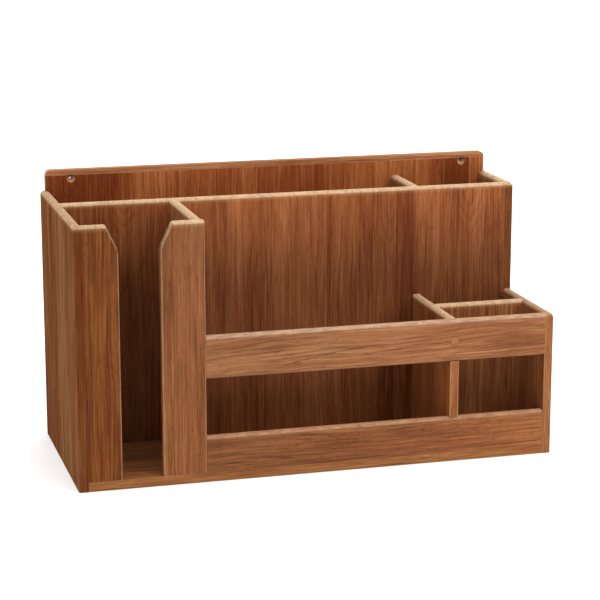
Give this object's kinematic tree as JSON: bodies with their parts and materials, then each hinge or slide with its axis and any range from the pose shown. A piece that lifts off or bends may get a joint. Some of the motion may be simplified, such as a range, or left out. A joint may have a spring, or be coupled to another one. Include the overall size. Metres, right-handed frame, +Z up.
{
  "type": "utensil holder",
  "caption": "Teak galley rack with a slotted cup bay, an open plate bay behind rails, low utensil pockets and a tall rear compartment, for hanging or standing.",
  "frame": {"origin": "middle of the footprint, on the surface that the rack stands on", "axes": "+X to the right along the width, seen from the front; +Y towards the back; +Z up. The front faces -Y"},
  "size_m": [0.457, 0.193, 0.265],
  "materials": {
    "teak": "oiled satin, upright grain on sides, fronts and dividers, level grain on rails and bottom",
    "teak_panel": "oiled satin, darker, upright grain",
    "teak_edging": "oiled satin, paler strip with level grain",
    "teak_plug": "oiled satin, sanded flush",
    "stainless_steel": "bright countersunk head"
  },
  "bodies": {
    "root": {"left_side": "teak", "right_side": "teak", "bottom_board": "teak", "partition": "teak", "slot_front": "teak", "slot_stile": "teak", "slot_bay_wall": "teak", "upper_rail": "teak", "lower_rail": "teak", "utensil_divider": "teak", "utensil_cross_board": "teak", "rear_divider": "teak", "back_panel": "teak_panel", "back_edging": "teak_edging", "upper_rail_plug": "teak_plug", "lower_rail_plug": "teak_plug", "rail_screw_1": "stainless_steel", "rail_screw_2": "stainless_steel", "back_screw_1": "stainless_steel", "back_screw_2": "stainless_steel", "back_screw_3": "stainless_steel", "back_screw_4": "stainless_steel", "back_screw_5": "stainless_steel", "base_screw_1": "stainless_steel", "base_screw_2": "stainless_steel", "base_screw_3": "stainless_steel", "base_screw_4": "stainless_steel", "base_screw_5": "stainless_steel"}
  },
  "joints": []
}
